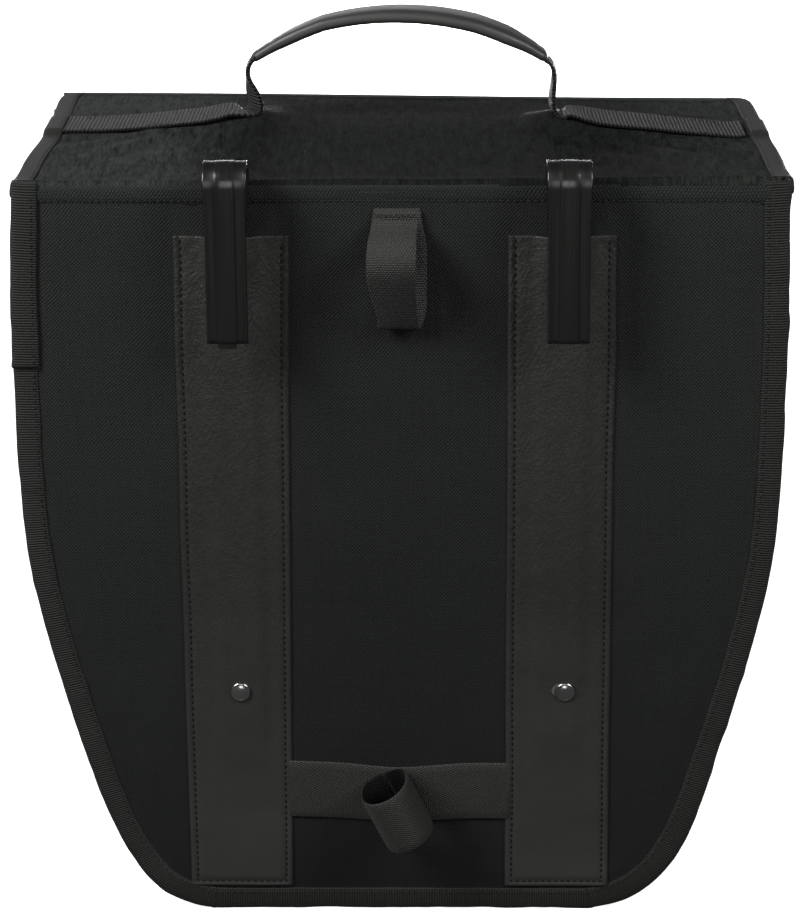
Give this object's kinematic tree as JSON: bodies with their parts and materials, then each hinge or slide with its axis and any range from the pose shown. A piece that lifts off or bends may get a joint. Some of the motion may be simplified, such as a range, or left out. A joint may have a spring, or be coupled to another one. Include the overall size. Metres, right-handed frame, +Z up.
{
  "type": "pannier bag",
  "caption": "Soft-sided bicycle pannier bag with a stiffened back, sleeved steel rack hooks, buckled flap and moulded carrying handle.",
  "frame": {"origin": "middle of the back seam's bottom edge, on the plane the bag stands on", "axes": "+X to the right when looking at the rack side, +Y from the rack side to the front flap, +Z up"},
  "size_m": [0.3709, 0.1941, 0.4495],
  "materials": {
    "outer_fabric": "woven matt",
    "gusset_fabric": "woven matt",
    "lining_fabric": "coated",
    "binding_tape": "ribbed",
    "webbing": "woven",
    "handle_web": "coarse ribbed",
    "leatherette": "creased grain",
    "stiffener": "matt",
    "hook_plastic": "glossy",
    "hook_steel": "zinc plated",
    "rivet_metal": "black nickel",
    "grip_rubber": "moulded satin",
    "buckle_plastic": "satin moulded"
  },
  "bodies": {
    "bag": {"back_panel": "outer_fabric", "back_board": "stiffener", "back_lining": "lining_fabric", "back_binding": "binding_tape", "binding_overlap": "binding_tape", "gusset": "gusset_fabric", "front_panel": "outer_fabric", "front_binding": "binding_tape", "mouth_binding": "binding_tape", "base_board": "stiffener", "hinge_hem": "outer_fabric", "strip_left": "leatherette", "strip_right": "leatherette", "hook_strap_left": "hook_steel", "hook_strap_right": "hook_steel", "hook_sleeve_left": "hook_plastic", "hook_sleeve_right": "hook_plastic", "rivets": "rivet_metal", "rivet_washers": "hook_steel", "upper_loop": "webbing", "lower_strap": "webbing", "closure_strap_left": "webbing", "closure_strap_right": "webbing"},
    "flap": {"flap_top": "outer_fabric", "flap_board": "stiffener", "flap_lining": "lining_fabric", "flap_binding": "binding_tape", "handle_tails": "handle_web"},
    "handle": {"grip": "grip_rubber", "handle_webbing": "handle_web"},
    "flap_skirt": {"flap_front": "outer_fabric", "flap_front_lining": "lining_fabric", "flap_front_binding": "binding_tape", "buckle_straps": "webbing", "buckle_receptacle_left": "buckle_plastic", "buckle_receptacle_right": "buckle_plastic"},
    "plug_left": {"buckle_plug_left": "buckle_plastic", "buckle_arms_left": "buckle_plastic"},
    "plug_right": {"buckle_plug_right": "buckle_plastic", "buckle_arms_right": "buckle_plastic"}
  },
  "joints": [
    {"name": "flap_hinge", "type": "hinge", "parent": "bag", "child": "flap", "pos_m": [0, -0.0011, 0.386], "axis": [1, 0, 0], "range_deg": [0, 95]},
    {"name": "flap_front_fold", "type": "hinge", "parent": "flap", "child": "flap_skirt", "pos_m": [0, 0.158, 0.3934], "axis": [1, 0, 0], "range_deg": [0, 110]},
    {"name": "handle_swing", "type": "hinge", "parent": "flap", "child": "handle", "pos_m": [0, 0.0934, 0.39233], "axis": [1, 0, 0], "range_deg": [-70, 70]},
    {"name": "buckle_left_release", "type": "slide", "parent": "bag", "child": "plug_left", "axis": [0, 0, -1], "range_m": [0, 0.022], "deforming": ["closure_strap_left", "buckle_arms_left"]},
    {"name": "buckle_right_release", "type": "slide", "parent": "bag", "child": "plug_right", "axis": [0, 0, -1], "range_m": [0, 0.022], "deforming": ["closure_strap_right", "buckle_arms_right"]}
  ]
}
